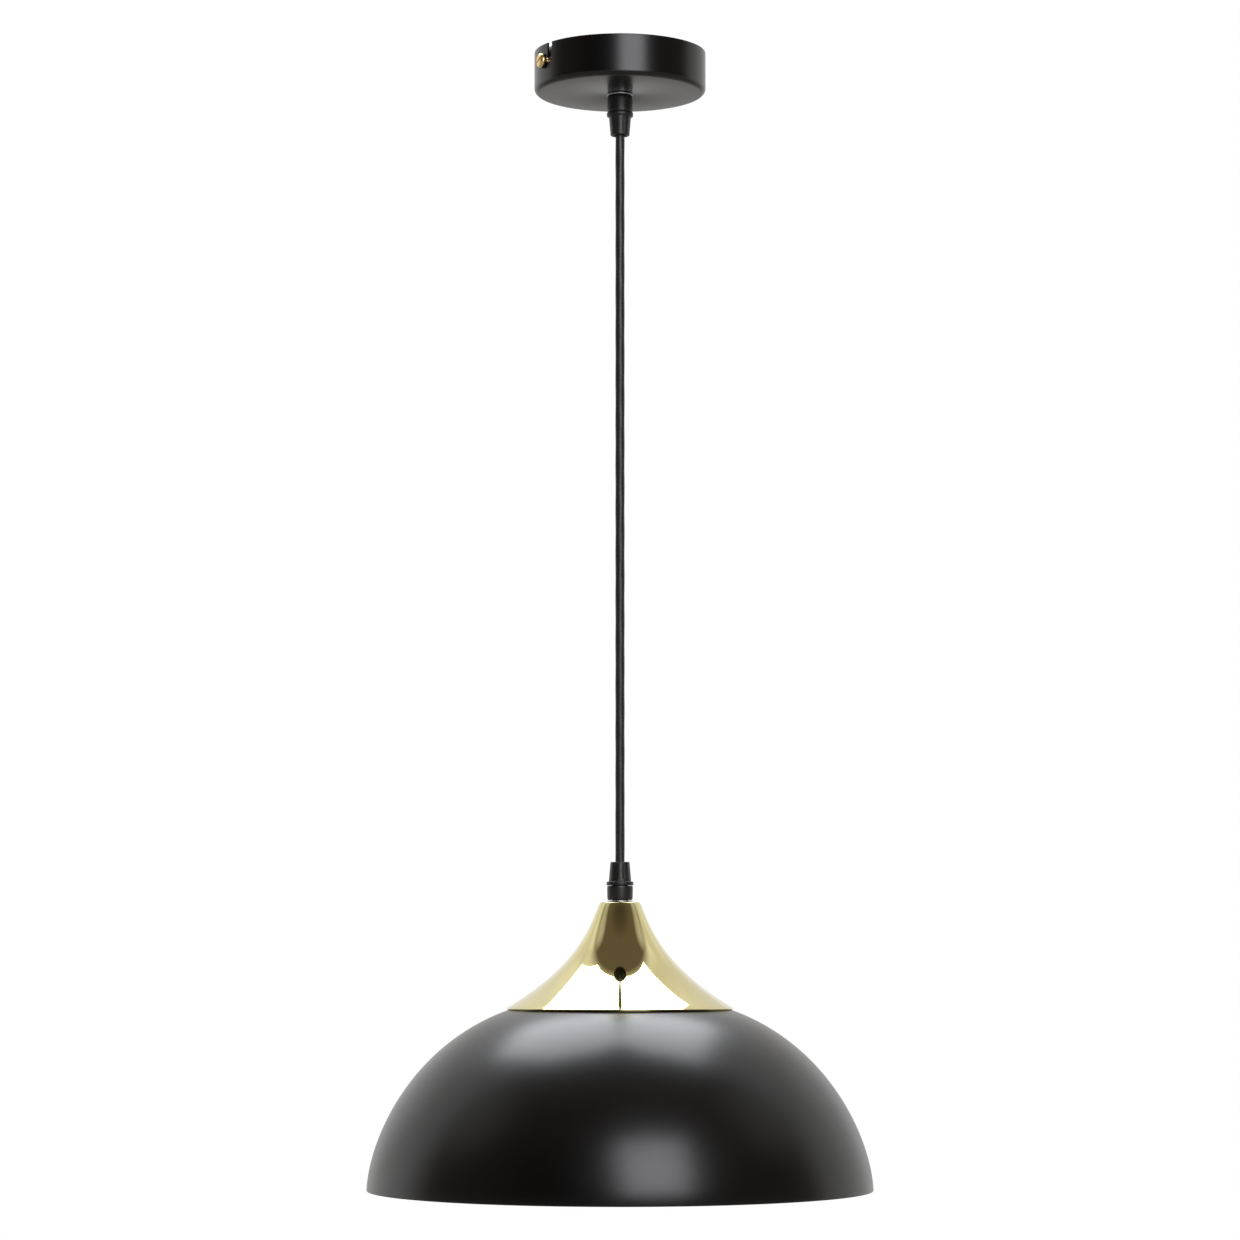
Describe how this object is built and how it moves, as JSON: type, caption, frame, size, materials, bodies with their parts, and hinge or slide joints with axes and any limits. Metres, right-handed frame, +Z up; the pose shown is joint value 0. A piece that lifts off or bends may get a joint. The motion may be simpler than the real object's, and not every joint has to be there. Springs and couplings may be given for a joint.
{
  "type": "pendant ceiling light",
  "caption": "Dome pendant light on a round cord, with a flared brass cap over the lamp holder, cord glands and a bayonet ceiling canopy.",
  "frame": {"origin": "centre of the ceiling bracket's flat top face, where it lies on the ceiling", "axes": "+Z up along the hanging cord, -Y towards the viewer, +X to the viewer's right"},
  "size_m": [0.3, 0.3, 0.6853],
  "materials": {
    "black_paint": "satin black powder coat",
    "black_plastic": "satin black nylon",
    "rubber": "black rubber",
    "black_pvc": "black flexible jacket, satin",
    "polished_brass": "mirror polished and lacquered",
    "brass": "plain brass",
    "zinc_steel": "zinc plated",
    "white_nylon": "white nylon",
    "ceramic": "unglazed steatite",
    "live_brown": "brown core insulation",
    "neutral_blue": "blue core insulation",
    "earth_green": "green and yellow core insulation"
  },
  "bodies": {
    "ceiling": {"mounting_bracket": "zinc_steel", "terminal_block": "white_nylon", "terminal_screw_1": "brass", "terminal_screw_2": "brass", "terminal_screw_3": "brass", "earth_screw": "brass", "earth_tag_top": "zinc_steel", "wire_live_top": "live_brown", "wire_neutral_top": "neutral_blue", "wire_earth_top": "earth_green", "wire_earth_link": "earth_green"},
    "canopy_washer_left": {"canopy_washer_left": "black_plastic"},
    "canopy_screw_left": {"canopy_screw_left": "brass"},
    "canopy_washer_right": {"canopy_washer_right": "black_plastic"},
    "canopy_screw_right": {"canopy_screw_right": "brass"},
    "canopy": {"canopy": "black_paint", "upper_gland_ring": "zinc_steel", "upper_lock_washer": "zinc_steel", "upper_lock_nut": "zinc_steel", "upper_gland_body": "black_plastic", "cord_upper_end": "black_pvc"},
    "upper_gland_grip": {"upper_gland_grip": "rubber"},
    "upper_gland_nut": {"upper_gland_nut": "black_plastic"},
    "cord_upper_bend": {"cord_upper_bend": "black_pvc"},
    "cord": {"cord": "black_pvc"},
    "cord_lower_bend": {"cord_lower_bend": "black_pvc"},
    "shade": {"cord_lower_end": "black_pvc", "lower_gland_body": "black_plastic", "lower_gland_ring": "zinc_steel", "brass_cap": "polished_brass", "threaded_nipple": "zinc_steel", "cap_nut": "zinc_steel", "holder_lock_nut": "zinc_steel", "holder_cap": "black_plastic", "earth_tag_bottom": "zinc_steel", "holder_inner_nut": "zinc_steel", "holder_insert": "ceramic", "holder_terminal_live": "brass", "holder_terminal_neutral": "brass", "screw_shell": "brass", "holder_body": "black_plastic", "wire_live_bottom": "live_brown", "wire_neutral_bottom": "neutral_blue", "wire_earth_bottom": "earth_green"},
    "lower_gland_grip": {"lower_gland_grip": "rubber"},
    "lower_gland_nut": {"lower_gland_nut": "black_plastic"},
    "centre_contact": {"centre_contact": "brass"},
    "dome": {"dome_shade": "black_paint"},
    "shade_ring": {"shade_ring": "black_plastic"}
  },
  "joints": [
    {"name": "canopy_screw_left_travel", "type": "slide", "parent": "ceiling", "child": "canopy_washer_left", "axis": [-0.8862, -0.4633, 0], "range_m": [0, 0.0014]},
    {"name": "canopy_screw_left_turn", "type": "hinge", "parent": "canopy_washer_left", "child": "canopy_screw_left", "pos_m": [0, 0, -0.0105], "axis": [-0.8862, -0.4633, 0], "range_deg": [0, 720]},
    {"name": "canopy_screw_right_travel", "type": "slide", "parent": "ceiling", "child": "canopy_washer_right", "axis": [0.8862, 0.4633, 0], "range_m": [0, 0.0014]},
    {"name": "canopy_screw_right_turn", "type": "hinge", "parent": "canopy_washer_right", "child": "canopy_screw_right", "pos_m": [0, 0, -0.0105], "axis": [0.8862, 0.4633, 0], "range_deg": [0, 720]},
    {"name": "canopy_twist", "type": "hinge", "parent": "ceiling", "child": "canopy", "pos_m": [0, 0, 0], "axis": [0, 0, -1], "range_deg": [0, 8]},
    {"name": "upper_gland_nut_travel", "type": "slide", "parent": "canopy", "child": "upper_gland_grip", "axis": [0, 0, -1], "range_m": [0, 0.002]},
    {"name": "upper_gland_nut_turn", "type": "hinge", "parent": "upper_gland_grip", "child": "upper_gland_nut", "pos_m": [0, 0, -0.0371], "axis": [0, 0, -1], "range_deg": [0, 720]},
    {"name": "lower_gland_nut_travel", "type": "slide", "parent": "shade", "child": "lower_gland_grip", "axis": [0, 0, 1], "range_m": [0, 0.002]},
    {"name": "lower_gland_nut_turn", "type": "hinge", "parent": "lower_gland_grip", "child": "lower_gland_nut", "pos_m": [0, 0, -0.5052], "axis": [0, 0, 1], "range_deg": [0, 720]},
    {"name": "swing_side", "type": "hinge", "parent": "canopy", "child": "cord_upper_bend", "pos_m": [0, 0, -0.059], "axis": [0, 1, 0], "range_deg": [-30, 30], "deforming": ["cord_upper_bend"]},
    {"name": "swing_front", "type": "hinge", "parent": "cord_upper_bend", "child": "cord", "pos_m": [0, 0, -0.073], "axis": [1, 0, 0], "range_deg": [-30, 30]},
    {"name": "shade_spin", "type": "hinge", "parent": "cord", "child": "cord_lower_bend", "pos_m": [0, 0, -0.4738], "axis": [0, 0, 1], "range_deg": [-180, 180], "stiffness_Nm_per_rad": 0.003},
    {"name": "shade_tilt", "type": "hinge", "parent": "cord_lower_bend", "child": "shade", "pos_m": [0, 0, -0.485], "axis": [0, 1, 0], "range_deg": [-12, 12], "deforming": ["cord_lower_bend"]},
    {"name": "centre_contact_press", "type": "slide", "parent": "shade", "child": "centre_contact", "axis": [0, 0, 1], "range_m": [0, 0.0015], "stiffness_N_per_m": 2000, "springref_m": -0.0005},
    {"name": "shade_ring_travel", "type": "slide", "parent": "shade", "child": "dome", "axis": [0, 0, -1], "range_m": [0, 0.005]},
    {"name": "shade_ring_turn", "type": "hinge", "parent": "dome", "child": "shade_ring", "pos_m": [0, 0, -0.5719], "axis": [0, 0, -1], "range_deg": [0, 720]}
  ],
  "couplings": [
    {"joint": "canopy_screw_left_turn", "follows": "canopy_screw_left_travel", "rad_per_m": 8975.9},
    {"joint": "canopy_screw_right_turn", "follows": "canopy_screw_right_travel", "rad_per_m": 8975.9},
    {"joint": "upper_gland_nut_turn", "follows": "upper_gland_nut_travel", "rad_per_m": 6283.1},
    {"joint": "lower_gland_nut_turn", "follows": "lower_gland_nut_travel", "rad_per_m": 6283.1},
    {"joint": "shade_ring_turn", "follows": "shade_ring_travel", "rad_per_m": 2513.2}
  ]
}
